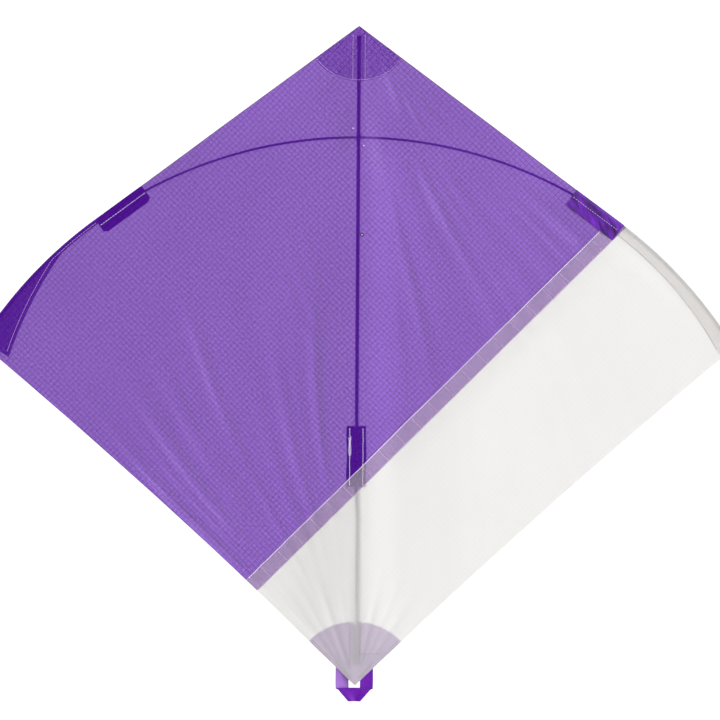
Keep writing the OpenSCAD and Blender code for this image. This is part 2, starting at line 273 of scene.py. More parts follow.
def tailFolds(x, z):
    # crests round the tail: a fan up the left side, and creases on the patch
    f = tailFan
    reach = np.hypot(x, z - tailZ)
    turn = np.arctan2(-x, z - tailZ)
    lean = turn + f["sway"] * np.sin(reach / f["swayLength"] + f["swayStart"])
    fan = sum(ridge(lean, wave) for wave in f["waves"])
    fan = fan * (1 - f["wander"] + f["wander"] * np.sin(reach / f["wanderLength"] + f["wanderTurns"] * lean))
    fan = fan * rise(reach, *f["grow"]) * fall(reach, *f["fade"]) * rise(turn, *f["leftOnly"])
    fan = fan * (f["whiteShare"] + (1 - f["whiteShare"]) * rise(z - x - whiteEdge, *f["overSeam"]))
    creases = sum(ridge(turn, wave) for wave in f["creases"]) * rise(np.abs(x), *creaseGap)
    creases = creases * rise(reach, *f["creaseGrow"]) * fall(reach, *f["creaseFade"])
    return f["height"] * fan + f["creaseHeight"] * creases


def wrinkleHeights(x, z):
    # fine slanted waves in an oval left of the spine: h sin(slant) e^(-dx^2 - dz^2)
    w = wrinkles
    slant = (w["slantX"] * x + w["slantZ"] * z) / w["pitch"] + w["bend"] * np.sin(z / w["bendLength"])
    oval = np.exp(-((x - w["x"]) / w["halfWidth"]) ** 2 - ((z - w["z"]) / w["halfHeight"]) ** 2)
    return w["height"] * np.sin(slant) * oval


def puckerHeights(x, z):
    # short waves along the seam, fading across it: h sin(s/p + b sin(s/l)) e^(-(d/w)^2)
    along = (x + z) / np.sqrt(2)
    across = (z - x - whiteEdge) / np.sqrt(2) + sailCut["seamWidth"] / 2
    wave = np.sin(along / pucker["pitch"] + pucker["bend"] * np.sin(along / pucker["bendLength"]))
    return pucker["height"] * wave * np.exp(-(across / pucker["halfWidth"]) ** 2)


def foldHeights(x, z):
    # the sum of the folds, and of low waves over the whole sail
    inWhite = whiteFolds["share"] + (1 - whiteFolds["share"]) * rise(z - x - whiteEdge, *whiteFolds["overSeam"])
    roll = sum(share * np.sin(x / long + z / tall + start) for share, long, tall, start in billow["waves"])
    roll = billow["height"] * roll * rise(np.abs(x), *billow["offSpine"])
    fan, noseCreases = noseFolds(x, z)
    return (fan * inWhite + noseCreases + tailFolds(x, z) + wrinkleHeights(x, z) + puckerHeights(x, z)
            + roll * (billow["whiteShare"] + (1 - billow["whiteShare"]) * inWhite))


# How the cloth lies between the spine, the bow and the edges
drape = {
    "spineGap": 0.14 * mm, "capGap": 0.34 * mm, "capReach": (-0.006, 0.005),
    "crossingSlack": 0.18 * mm, "crossingTop": (-0.01, 0.03), "crossingFoot": (-0.11, 0.03),
    "whiteSlack": 1.17 * mm, "whiteTop": (-0.355, 0.03), "whiteLow": (-0.46, 0.04), "tailEnd": (0.010, 0.03),
    "leftSlope": 0.078, "leftRound": 0.007, "leftMost": 0.0042, "leftEase": (0.04, 0.06),
    "leftLow": (-0.35, 0.05),
    "rightRise": 0.0022, "rightFrom": (0.009, 0.030), "rightBack": 0.0016, "rightEase": (0.040, 0.07),
    "stripeRise": 0.0056, "stripeTop": (-0.038, 0.05), "stripeFoot": (-0.05, 0.06),
    "tipShare": 0.25, "outward": (0.13, 0.19), "fromTail": (0, 0.10),
}
contact = {
    "bowGap": 0.20 * mm, "rightGap": 0.0014, "gapFrom": (0.030, 0.03), "gapTo": (0.150, 0.04),
    "width": 0.024, "offSpine": 0.004, "leftGrow": 0.022, "rightGrow": 0.018, "leftShare": 0.97,
    "rightShare": 0.85,
    "calmEdge": (0.002, 0.025), "lowEdge": (0, 0.012), "lowShare": 0.1, "flatAngle": (0.25, 0.25),
    "hemAngle": (np.radians(30), np.radians(5)), "hemDepth": (0.0035, 0.014), "hemRightGap": 0.0009,
    "behindSlope": 0.14, "behindFrom": 0.001, "round": 0.10 * mm,
}


def restY(z):
    # the cloth's middle where it lies over the spine, with some slack below the crossing and in the white cloth
    d = drape
    slack = d["crossingSlack"] * fall(z, *d["crossingTop"]) * rise(z, *d["crossingFoot"])
    low = d["whiteSlack"] * (1 + fall(z, *d["whiteLow"])) * fall(z, *d["whiteTop"])
    slack = slack + low * rise(z - tailZ, *d["tailEnd"])
    return spineY - spineR - d["spineGap"] - d["capGap"] * rise(z - capLowZ, *d["capReach"]) - slack


def backY(x, z):
    # how far the cloth goes back from the spine: a soft slope on the left, and a step on the right
    d = drape
    out = np.abs(x)
    left = d["leftSlope"] * (np.hypot(out, d["leftRound"]) - d["leftRound"])
    left = np.minimum(left * (1 - rise(out, *d["leftEase"]) / 2), d["leftMost"])
    left = left * (1 + fall(z, *d["leftLow"]) / 2)
    stripe = fall(z, *d["stripeTop"]) * rise(z - x - whiteEdge, *d["stripeFoot"])
    right = (d["rightRise"] + (d["stripeRise"] - d["rightRise"]) * stripe) * rise(x, *d["rightFrom"])
    right = right - d["rightBack"] * rise(x, *d["rightEase"])
    back = np.where(x > 0, right, left) * (d["tipShare"] + (1 - d["tipShare"]) * fall(out, *d["outward"]))
    return back * rise(z - tailZ, *d["fromTail"])


def sailY(x, z):
    # the cloth's middle: over the spine, back on both sides until it meets the bow, folded between them
    c = contact
    right = x > 0
    depth, angle = edgeDepth(x, z)
    out = np.abs(x)
    rest = restY(z)
    y = rest + backY(x, z) + foldHeights(x, z)
    touch = bowDepthY(angle) - bowR - c["bowGap"]
    fromBow = np.abs(np.hypot(x, z - circleZ) - bowBend)
    rightGap = c["rightGap"] * rise(x, *c["gapFrom"]) * fall(x, *c["gapTo"])
    cling = np.exp(-(fromBow / c["width"]) ** 2) * np.where(right, c["rightShare"], c["leftShare"])
    cling = cling * rise(out, c["offSpine"], np.where(right, c["rightGrow"], c["leftGrow"]))
    y = y + (touch - np.where(right, rightGap, 0.0) - y) * cling
    calm = rise(depth, *c["calmEdge"])                       # the hemmed edge keeps the folds down
    flat = rest + (touch - rest) * rise(angle, *c["flatAngle"])
    y = y * calm + np.minimum(flat, touch) * (1 - calm)
    low = c["lowShare"] * fall(z - trailingZ(x), *c["lowEdge"])
    y = y * (1 - low) + rest * low
    hem = rise(angle, *c["hemAngle"]) * fall(depth, *c["hemDepth"])
    y = y + (touch - np.where(right, c["hemRightGap"], 0.0) - y) * hem
    return softMin(y, touch + c["behindSlope"] * np.maximum(fromBow - c["behindFrom"], 0), c["round"])


def onSail(x, z, offset=0.0):
    # points on the sail's middle surface, or at an offset behind it
    x, z = np.broadcast_arrays(np.asarray(x, float), np.asarray(z, float))
    return np.stack([x, sailY(x, z) + offset, z], -1)


def newMaterial(name):
    material = bpy.data.materials.new(name)
    material.use_nodes = True
    material.node_tree.nodes.clear()
    return material, material.node_tree


def finishMaterial(tree, shader):
    out = tree.nodes.new("ShaderNodeOutputMaterial")
    tree.links.new(shader, out.inputs[0])


def linearColour(red, green, blue):
    # the linear value of an sRGB colour given in 0 to 255
    c = np.array([red, green, blue]) / 255
    return tuple(np.where(c < 0.04045, c / 12.92, ((c + 0.055) / 1.055) ** 2.4))


def mathNode(tree, operation, *values):
    node = tree.nodes.new("ShaderNodeMath")
    node.operation = operation
    for socket, value in zip(node.inputs, values):
        if isinstance(value, (int, float)):
            socket.default_value = value
        else:
            tree.links.new(value, socket)
    return node.outputs[0]


def aboutOne(tree, noise, amount):
    # 1 + amount (noise - 0.5)
    return mathNode(tree, "MULTIPLY_ADD", noise, amount, 1 - amount / 2)


def rangeNode(tree, value, span, result=(0, 1), kind="SMOOTHSTEP"):
    # the first result at the start of the span, the second at its end
    ramp = tree.nodes.new("ShaderNodeMapRange")
    ramp.interpolation_type = kind
    for label, number in zip(("From Min", "From Max", "To Min", "To Max"), (*span, *result)):
        ramp.inputs[label].default_value = number
    tree.links.new(value, ramp.inputs["Value"])
    return ramp.outputs[0]


def noiseNode(tree, vector, scale, detail, distortion=0.0):
    noise = tree.nodes.new("ShaderNodeTexNoise")
    for label, number in (("Scale", scale), ("Detail", detail), ("Distortion", distortion)):
        noise.inputs[label].default_value = number
    tree.links.new(vector, noise.inputs["Vector"])
    return noise.outputs["Fac"]


def splitNode(tree, vector):
    split = tree.nodes.new("ShaderNodeSeparateXYZ")
    tree.links.new(vector, split.inputs[0])
    return split.outputs


def bumpNode(tree, height, strength, distance):
    bump = tree.nodes.new("ShaderNodeBump")
    bump.inputs["Strength"].default_value = strength
    bump.inputs["Distance"].default_value = distance
    tree.links.new(height, bump.inputs["Height"])
    return bump.outputs[0]


def scaledColour(tree, colour, factor):
    mix = tree.nodes.new("ShaderNodeMix")
    mix.data_type = "RGBA"
    mix.blend_type = "MULTIPLY"
    mix.inputs["Factor"].default_value = 1
    mix.inputs["A"].default_value = (*colour, 1)
    tree.links.new(factor, mix.inputs["B"])
    return mix.outputs["Result"]


def blendedColour(tree, mask, colour, other):
    mix = tree.nodes.new("ShaderNodeMix")
    mix.data_type = "RGBA"
    mix.inputs["B"].default_value = (*other, 1)
    tree.links.new(mask, mix.inputs["Factor"])
    tree.links.new(colour, mix.inputs["A"])
    return mix.outputs["Result"]


def mixShader(tree, share, first, second):
    mix = tree.nodes.new("ShaderNodeMixShader")
    if isinstance(share, (int, float)):
        mix.inputs[0].default_value = share
    else:
        tree.links.new(share, mix.inputs[0])
    tree.links.new(first, mix.inputs[1])
    tree.links.new(second, mix.inputs[2])
    return mix.outputs[0]


# The cloth's thick threads, and its noises as (scale, detail, distortion)
ripstop = {
    "pitch": 0.00385, "wider": 1.085, "turn": 43.9, "lineWidth": 0.44 * mm, "lineCore": 0.3,
    "lapSpread": 0.0004,
    "cloud": (9, 5, 0), "weave": (400, 3, 0), "crinkle": (200, 3, 0.6), "grain": 1.5,
    "lineHeight": 0.5, "crinkleHeight": 2.2, "bumpStrength": 0.5, "bumpDepth": 0.00014,
}


def ripstopLines(tree):
    # the cut's own UV, and 1 on the thick threads, which cross slantwise: each family is a triangle wave
    uv = tree.nodes.new("ShaderNodeUVMap")
    uv.uv_map = "cut"
    turn = tree.nodes.new("ShaderNodeMapping")
    turn.inputs["Rotation"].default_value = (0, 0, np.radians(ripstop["turn"]))
    tree.links.new(uv.outputs[0], turn.inputs["Vector"])
    axes = splitNode(tree, turn.outputs[0])
    edges = (ripstop["lineWidth"] * ripstop["lineCore"], ripstop["lineWidth"])
    lines = []
    for axis, pitch in (("X", ripstop["pitch"] * ripstop["wider"]), ("Y", ripstop["pitch"])):
        wave = mathNode(tree, "PINGPONG", axes[axis], pitch / 2)
        lines.append(rangeNode(tree, wave, edges, (1, 0)))
    return uv.outputs[0], mathNode(tree, "MAXIMUM", *lines)


def bandMask(tree, uv):
    # 1 inside the lap of the two panels: the slanted distance from the white panel's edge, as two steps
    axes = splitNode(tree, uv)
    slanted = mathNode(tree, "SUBTRACT", axes["Y"], axes["X"])
    steps = []
    for edge, spread in ((whiteEdge, -ripstop["lapSpread"]), (violetEdge, ripstop["lapSpread"])):
        steps.append(rangeNode(tree, slanted, (edge - spread, edge + spread), kind="LINEAR"))
    return mathNode(tree, "MULTIPLY", *steps)


def sailcloth(name, lit, through, clear, openShare, roughness, lineShade=0.80, mottle=0.10, lap=None,
              diffuse=0.58, fade=None, specular=0.35):
    # reflects one colour, passes another through as soft light, and lets some straight through its weave
    material, tree = newMaterial(name)
    uv, lines = ripstopLines(tree)
    cloud, weave, crinkle = (noiseNode(tree, uv, *ripstop[kind]) for kind in ("cloud", "weave", "crinkle"))
    tones = [mathNode(tree, "MULTIPLY_ADD", lines, lineShade - 1, 1), aboutOne(tree, cloud, mottle),
             aboutOne(tree, weave, (1 - lineShade) * ripstop["grain"])]
    # painted shade: the tone drops towards the left end of the cut's X, darker where the key lamp lights the
    # cloth less
    if fade:
        across = splitNode(tree, uv)["X"]
        tones.append(rangeNode(tree, across, (fade["start"], fade["stop"]), (fade["least"], 1)))
    tone = tones[0]
    for other in tones[1:]:
        tone = mathNode(tree, "MULTIPLY", tone, other)
    litColour = scaledColour(tree, lit, tone)
    throughColour = scaledColour(tree, through, tone)
    if lap:
        mask = bandMask(tree, uv)
        litColour = blendedColour(tree, mask, litColour, lap["lit"])
        throughColour = blendedColour(tree, mask, throughColour, lap["through"])
        openShare = mathNode(tree, "MULTIPLY_ADD", mask, lap["open"] - openShare, openShare)
    height = mathNode(tree, "MULTIPLY_ADD", lines, ripstop["lineHeight"], weave)
    height = mathNode(tree, "MULTIPLY_ADD", crinkle, ripstop["crinkleHeight"], height)
    gloss = tree.nodes.new("ShaderNodeBsdfPrincipled")
    gloss.inputs["Roughness"].default_value = roughness
    gloss.inputs["Specular IOR Level"].default_value = specular
    tree.links.new(litColour, gloss.inputs["Base Color"])
    relief = bumpNode(tree, height, ripstop["bumpStrength"], ripstop["bumpDepth"])
    tree.links.new(relief, gloss.inputs["Normal"])
    glow = tree.nodes.new("ShaderNodeBsdfTranslucent")
    tree.links.new(throughColour, glow.inputs["Color"])
    shader = mixShader(tree, 1 - diffuse, gloss.outputs[0], glow.outputs[0])
    if openShare:
        straight = tree.nodes.new("ShaderNodeBsdfTransparent")
        tree.links.new(scaledColour(tree, clear, tone), straight.inputs[0])
        shader = mixShader(tree, openShare, shader, straight.outputs[0])
    finishMaterial(tree, shader)
    return material


grain = {"detail": 4, "gloss": 0.15, "glossBase": -0.07, "bumpStrength": 0.4}


def plainMaterial(name, colour, roughness, grainScale, mottle, bumpDepth, specular=0.5, stretch=(1, 1, 1),
                  turn=None):
    # one colour with a stretched noise in its tone, its gloss and its relief
    material, tree = newMaterial(name)
    coordinates = tree.nodes.new("ShaderNodeTexCoord")
    size = tree.nodes.new("ShaderNodeMapping")
    size.inputs["Scale"].default_value = stretch
    if turn is not None:
        size.vector_type = "TEXTURE"
        size.inputs["Rotation"].default_value = (0, np.radians(turn), 0)
    tree.links.new(coordinates.outputs["Object"], size.inputs["Vector"])
    noise = noiseNode(tree, size.outputs[0], grainScale, grain["detail"])
    shader = tree.nodes.new("ShaderNodeBsdfPrincipled")
    shader.inputs["Specular IOR Level"].default_value = specular
    tone = aboutOne(tree, noise, mottle)
    tree.links.new(scaledColour(tree, colour, tone), shader.inputs["Base Color"])
    rough = mathNode(tree, "MULTIPLY_ADD", noise, grain["gloss"], roughness + grain["glossBase"])
    tree.links.new(rough, shader.inputs["Roughness"])
    tree.links.new(bumpNode(tree, noise, grain["bumpStrength"], bumpDepth), shader.inputs["Normal"])
    finishMaterial(tree, shader.outputs[0])
    return material


violetClear = (0.577, 0.473, 0.668)
# the violet and white cloths carry a painted shade, darker towards the left
violetCloth = sailcloth(
    "violetCloth", lit=(0.175, 0.006, 0.62), through=(0.245, 0.155, 0.29), clear=violetClear, openShare=0.64,
    roughness=0.33, lineShade=0.77, mottle=0.12, specular=0.30,
    fade={"start": -0.26, "stop": 0.06, "least": 0.955})
whiteCloth = sailcloth(
    "whiteCloth", lit=(0.42, 0.415, 0.41), through=(0.955, 0.95, 0.94), clear=(0.95, 0.95, 0.94),
    openShare=0.15, roughness=0.5, lineShade=0.975, mottle=0.02, diffuse=0.52,
    fade={"start": -0.06, "stop": 0.10, "least": 0.94},
    lap={"lit": (0.66, 0.58, 0.60), "through": (0.95, 0.92, 0.96), "open": 0.80})
whiteHemCloth = sailcloth(
    "whiteHemCloth", lit=(0.42, 0.33, 0.32), through=(0.98, 0.93, 0.92), clear=(0.97, 0.96, 0.955),
    openShare=0.74, roughness=0.5, lineShade=0.97)
nosePatchCloth = sailcloth(
    "nosePatchCloth", lit=(0.40, 0.35, 0.45), through=(0.95, 0.90, 0.95), clear=(0.96, 0.92, 0.97),
    openShare=0.65, roughness=0.45, lineShade=0.85)
tailPatchCloth = sailcloth(
    "tailPatchCloth", lit=(0.07, 0.012, 0.30), through=(0.72, 0.40, 0.95), clear=(0.72, 0.58, 0.81),
    openShare=0.62, roughness=0.45, lineShade=0.85)
deepCloth = sailcloth(
    "deepCloth", lit=(0.075, 0.002, 0.26), through=(0.10, 0.002, 0.30), clear=violetClear, openShare=0,
    roughness=0.45, diffuse=0.85)
sewnRibbon = sailcloth(
    "sewnRibbon", lit=(0.20, 0.10, 0.40), through=(0.95, 0.88, 0.97), clear=(0.95, 0.92, 0.97), openShare=0.88,
    roughness=0.45, lineShade=0.9)
flapCloth = plainMaterial("flapCloth", (0.062, 0.005, 0.19), 0.5, 380, 3.6, 0.00014, 0.2, (1, 1, 5), -26)
ribbonCloth = plainMaterial("ribbonCloth", (0.085, 0.003, 0.235), 0.5, 620, 0.9, 0.00012, 0.15, (1, 1, 2))
# a paler copy of the ribbon's colour: painted sheen for the limb that catches the light
ribbonBack = plainMaterial("ribbonBack", (0.185, 0.085, 0.32), 0.5, 900, 0.55, 0.00010, 0.2, (1, 1, 2))
cutEdge = plainMaterial("cutEdge", (0.15, 0.10, 0.17), 0.5, 700, 0.3, 0.00004, 0.3)
rimViolet = plainMaterial("rimViolet", (0.16, 0.045, 0.34), 0.4, 700, 0.3, 0.00004, 0.3)
rimDark = plainMaterial("rimDark", (0.030, 0.008, 0.07), 0.5, 700, 0.3, 0.00004, 0.2)
paleThread = plainMaterial("paleThread", linearColour(192, 166, 194), 0.6, 2500, 0.2, 0.00005, 0.2)
greyThread = plainMaterial("greyThread", linearColour(128, 108, 116), 0.6, 2500, 0.2, 0.00005, 0.2)
whiteThread = plainMaterial("whiteThread", linearColour(232, 222, 234), 0.6, 2500, 0.15, 0.00005, 0.2)
darkThread = plainMaterial("darkThread", linearColour(30, 14, 48), 0.6, 2500, 0.2, 0.00005, 0.1)
carbon = plainMaterial("carbon", linearColour(26, 26, 29), 0.38, 900, 0.5, 0.00002, 0.4, (1, 1, 0.02))
vinyl = plainMaterial("vinyl", linearColour(20, 20, 22), 0.5, 400, 0.2, 0.00003)
print("materials made")


# Sail panels: columns from the spine outwards, with a round hole cut for each bridle line
panels = {"columnWidth": 0.0021, "rowCount": 250, "leastColumns": 8, "leastRows": 12, "mergeDistance": 2e-5}
lap = {"white": -0.26 * mm, "violet": 0.0}
bridleHoles = {
    "radius": 0.0009, "clearing": 2.6, "rimRadius": 0.0011, "bead": 0.00062, "steps": 28, "wornBelow": -0.05,
    "places": [(mount["pos_m"][0], mount["pos_m"][2])
               for mount in frame["record"]["mounts"] if "hole" in mount["name"]],
}


def placeOnWing(piece, nodes=()):
    # hides the CAD nodes that the piece stands for, and bakes the piece's place into its mesh
    if nodes:
        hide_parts(*nodes)
    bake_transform(piece)
    return piece


def cutHole(points, quads, flat, centre):
    # drop the cells round the centre, and join the cells that are left to a circle
    radius = bridleHoles["radius"]
    near = np.hypot(*(flat[quads].mean(1) - centre).T) < bridleHoles["clearing"] * radius
    if not near.any():
        return points, quads, flat
    gone = quads[near]
    ends = np.stack([gone, np.roll(gone, -1, 1)], -1).reshape(-1, 2)
    pairs = {tuple(end) for end in ends.tolist()}
    rim = np.array([end for end in pairs if end[::-1] not in pairs])
    outer = np.unique(rim)
    away = flat[outer] - centre
    circle = centre + radius * away / np.linalg.norm(away, axis=1)[:, None]
    number = {vertex: len(points) + k for k, vertex in enumerate(outer.tolist())}
    collar = [[a, b, number[b], number[a]] for a, b in rim.tolist()]
    offset = points[outer[0], 1] - sailY(*flat[outer[0]])
    points = np.concatenate([points, onSail(circle[:, 0], circle[:, 1], offset)])
    return points, np.concatenate([quads[~near], collar]), np.concatenate([flat, circle])


def sailPanel(name, side, width, low, high, offset, material):
    # columns at x = side w k/(n-1), each with equal rows between two boundary curves of x
    count = max(int(width / panels["columnWidth"]), panels["leastColumns"])
    x = side * np.linspace(0, width, count)
    bottom, top = low(x), high(x)
    rows = max(int(panels["rowCount"] * (top - bottom).max() / (noseZ - tailZ)) + 2, panels["leastRows"])
    z = bottom[:, None] + (top - bottom)[:, None] * np.linspace(0, 1, rows)
    xs = np.repeat(x[:, None], rows, 1)
    points = onSail(xs, z, offset).reshape(-1, 3)
    quads, flat = gridQuads(count, rows), np.stack([xs, z], -1).reshape(-1, 2)
    for hole in bridleHoles["places"]:
        points, quads, flat = cutHole(points, quads, flat, np.array(hole))
    piece = mergeDoubles(makeMesh(name, points, quads, material, flat), panels["mergeDistance"])
    return thicken(piece, sailCut["clothThickness"])


def crossing(low, high, side, start, stop, halvings=50):
    # the distance from the spine at which two boundary curves meet, by halving
    for _ in range(halvings):
        middle = (start + stop) / 2
        if high(np.array(side * middle)) - low(np.array(side * middle)) > 0:
            start = middle
        else:
            stop = middle
    return start


def violetLow(x):
    # the panel ends at its slanted edge, or at the trailing edge where that comes first
    return np.maximum(trailingZ(x), x + violetEdge)


def whiteHigh(x):
    # the panel starts at its slanted edge, or at the leading edge where that is lower
    return np.minimum(leadingZ(x), x + whiteEdge)


violetRightEnd = crossing(violetLow, leadingZ, 1, 0.1, tipX)
whiteLeftEnd = crossing(trailingZ, whiteHigh, -1, 0.0, tipX)
violetLeft = sailPanel("violet_panel_left", -1, tipX, violetLow, leadingZ, lap["violet"], violetCloth)
violetRight = sailPanel("violet_panel_right", 1, violetRightEnd, violetLow, leadingZ, lap["violet"],
                        violetCloth)
whiteLeft = sailPanel("white_panel_left", -1, whiteLeftEnd, trailingZ, whiteHigh, lap["white"], whiteCloth)
whiteRight = sailPanel("white_panel_right", 1, tipX, trailingZ, whiteHigh, lap["white"], whiteCloth)
for side, word, violet, white in ((-1, "left", violetLeft, whiteLeft), (1, "right", violetRight, whiteRight)):
    placeOnWing(violet, [f"violet_sail_{word}", "violet_sail_centre"])
    placeOnWing(white, [f"white_sail_{word}", "white_sail_centre"])
print("sail panels cut")


def tubePoints(path, radius, sides, closed=False):
    # circles of one radius across a path, in frames carried along it
    path = np.asarray(path, float)
    ahead = np.roll(path, -1, 0) - np.roll(path, 1, 0) if closed else np.gradient(path, axis=0)
    ahead /= np.linalg.norm(ahead, axis=1)[:, None]
    across = np.cross(ahead, [0.0, 1.0, 0.0])
    across[np.linalg.norm(across, axis=1) < 1e-3] = [1.0, 0.0, 0.0]
    across /= np.linalg.norm(across, axis=1)[:, None]
    other = np.cross(across, ahead)
    turn = np.linspace(0, 2 * np.pi, sides, endpoint=False)
    ring = across[:, None] * np.cos(turn)[None, :, None] + other[:, None] * np.sin(turn)[None, :, None]
    return path[:, None] + ring * radius


def tubeFaces(count, sides, closed=False):
    # corners (i, j), (i, j+1), (i+1, j+1), (i+1, j) of every cell, round each circle and round a closed path
    i, j = np.meshgrid(np.arange(count if closed else count - 1), np.arange(sides), indexing="ij")
    after, beside = (i + 1) % count, (j + 1) % sides
    quads = np.stack([i * sides + j, i * sides + beside, after * sides + beside, after * sides + j], -1)
    return quads.reshape(-1, 4)


def makeTube(name, path, radius, sides, material):
    # an open tube with a flat cap at each end
    points = tubePoints(path, radius, sides)
    caps = [list(range(sides))[::-1], [(len(points) - 1) * sides + k for k in range(sides)]]
    faces = tubeFaces(len(points), sides).tolist() + caps
    return mergeDoubles(makeMesh(name, points, faces, material, flatCaps=True), 1e-7)


def makeRings(name, paths, radius, material, sides=8):
    # one closed tube round each path, all as one piece
    count = len(paths[0])
    points = [tubePoints(path, radius, sides, closed=True).reshape(-1, 3) for path in paths]
    quads = [tubeFaces(count, sides, closed=True) + k * count * sides for k in range(len(paths))]
    return mergeDoubles(makeMesh(name, np.concatenate(points), np.concatenate(quads), material), 1e-9)


# The bow: two halves of one bent rod
for side, word in ((-1, "left"), (1, "right")):
    angle = np.linspace(0, bow["endAngle"], bow["steps"])
    path = np.stack([side * bowBend * np.sin(angle), bowDepthY(angle), circleZ + bowBend * np.cos(angle)], -1)
    limb = makeTube(f"bow_half_{word}", path, bowR, bow["sides"], carbon)
    placeOnWing(limb, [f"bow_{word}", "bow_centre"])
print("bow bent")

# Melted bead along the cut edges and round the bridle holes, of which the lowest has a darker rim
cutBead = {
    "radius": 0.00032, "steps": 170, "sides": 8, "start": 0.0006, "stop": straightLength - 0.052, "in": 0.0001,
}
for side, word in ((-1, "left"), (1, "right")):
    x, z = edgePoint(side, np.linspace(cutBead["start"], cutBead["stop"], cutBead["steps"]), cutBead["in"])
    bead = makeTube(f"cut_edge_{word}", onSail(x, z), cutBead["radius"], cutBead["sides"], cutEdge)
    placeOnWing(bead)
turn = np.linspace(0, 2 * np.pi, bridleHoles["steps"], endpoint=False)
rimX, rimZ = bridleHoles["rimRadius"] * np.cos(turn), bridleHoles["rimRadius"] * np.sin(turn)
violetRims, darkRims = [], []
for x0, z0 in bridleHoles["places"]:
    ring = onSail(x0 + rimX, z0 + rimZ, -0.02 * mm)
    (darkRims if z0 < bridleHoles["wornBelow"] else violetRims).append(ring)
place(makeRings("bridle_hole_rims", violetRims, bridleHoles["bead"], rimViolet), "airframe")
place(makeRings("bridle_hole_rim_lower", darkRims, bridleHoles["bead"], rimDark), "airframe")

# Reinforcing patches on the back, each with a tunnel for the spine. A patch's spokes crowd towards the spine
patchInner = 0.0012
patchThickness = 0.14 * mm
tunnelClearance = 0.00065
noseHalfTurn = np.pi / 2 - touchAngle
tailHalfTurn = np.arctan2(0.04, trailingZ(np.array(0.04)) - tailZ)
nosePatch = {
    "reach": 0.0505, "rings": 34, "spokes": 96, "offset": 0.22 * mm, "halfTurn": noseHalfTurn, "spread": 0.995,
    "crowding": 1.6, "tunnel": 0.0055, "shut": (0.004, 0.005), "tip": noseZ, "up": -1,
}
tailPatch = {
    "reach": 0.059, "rings": 40, "spokes": 110, "offset": 0.0, "halfTurn": tailHalfTurn, "spread": 1,
    "crowding": 1.5, "tunnel": 0.0042, "shut": (0.016, 0.005), "tip": tailZ, "up": 1,
}
sleeve = {
    "columns": 49, "rows": 40, "waver": 0.0003, "waverLength": 0.006, "offset": 0.24 * mm, "tunnel": 0.0040,
    "thickness": 0.22 * mm,
}


def tunnelY(x, base, halfWidth):
    # the flat patch, raised over the spine by a bump (1 - (x/h)^2)^1.5
    crown = spineY + spineR + tunnelClearance
    bump = np.maximum(1 - (x / halfWidth) ** 2, 0) ** 1.5
    return base + (crown - base) * bump


def finishPatch(piece, nodes, thickness):
    thicken(place(piece, "airframe", nodes), thickness)


def sectorPatch(name, patch, material):
    # rings and spokes about a tip of the sail, where the tunnel closes over the rod's end
    reach = np.linspace(patchInner, patch["reach"], patch["rings"])[:, None]
    share = np.linspace(-1, 1, patch["spokes"])
    turn = patch["halfTurn"] * np.sign(share) * np.abs(share * patch["spread"]) ** patch["crowding"]
    x = reach * np.sin(turn)
    z = np.maximum(patch["tip"] + patch["up"] * reach * np.cos(turn), trailingZ(x) + 0.1 * mm)
    flatY = sailY(x, z) + patch["offset"]
    raised = tunnelY(x, flatY, patch["tunnel"]) - flatY
    y = flatY + raised * rise(patch["up"] * (z - patch["tip"]), *patch["shut"])
    return makeMesh(name, np.stack([x, y, z], -1), gridQuads(*x.shape), material, np.stack([x, z], -1))


for end, patch, cloth in (("nose", nosePatch, nosePatchCloth), ("tail", tailPatch, tailPatchCloth)):
    piece = sectorPatch(f"{end}_reinforcement", patch, cloth)
    finishPatch(piece, [f"{end}_patch"], patchThickness)
sleeveLow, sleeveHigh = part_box("spine_sleeve")
x, z = np.meshgrid(np.linspace(sleeveLow.x, sleeveHigh.x, sleeve["columns"]),
                   np.linspace(sleeveLow.z, sleeveHigh.z, sleeve["rows"]), indexing="ij")
x = x + sleeve["waver"] * np.sin(z / sleeve["waverLength"])
points = np.stack([x, tunnelY(x, sailY(x, z) + sleeve["offset"], sleeve["tunnel"]), z], -1)
piece = makeMesh("middle_sleeve", points, gridQuads(*x.shape), deepCloth, np.stack([x, z], -1))
finishPatch(piece, ["spine_sleeve"], sleeve["thickness"])
print("patches laid")

# Cloth folded round the leading edge: places are distances along it from the nose, and depths run in from it
edges = {
    "pocketStart": straightLength - 0.054, "pocketEnd": straightLength - 0.001, "pocketDepth": 0.0158,
    "rightStart": 0.0020, "rightEnd": 0.0034, "rightLess": 0.001, "corner": 0.0022, "cornerLength": 0.004,
    "flap": 0.0176, "flapCorner": 0.2, "flapGap": 0.78 * mm, "pocketSteps": 40,
    "hemStart": straightLength - 0.0008, "hemEnd": straightLength + edgeR * (tipAngle - touchAngle) - 0.003,
    "leftHem": 0.0044, "leftWiden": 0.035, "leftFrom": 0.28, "rightHem": 0.0112, "rightWiden": 0.0045,
    "hemSteps": 90,
}
strip = {
    "backGap": 0.35 * mm, "seat": 0.0030, "frontRows": 8, "turnRows": 9, "backRows": 14, "turnIn": 0.0002,
    "wrapGap": 0.22 * mm, "bulge": 0.0005, "tuck": 0.0004, "backFrom": 0.15, "flatGap": 0.26 * mm,
    "pastBow": 0.0012, "thickness": 0.18 * mm,
}


def leftHemDepth(share):
    # narrow at first, then widening evenly to the wing tip
    return edges["leftHem"] + edges["leftWiden"] * np.maximum(share - edges["leftFrom"], 0)


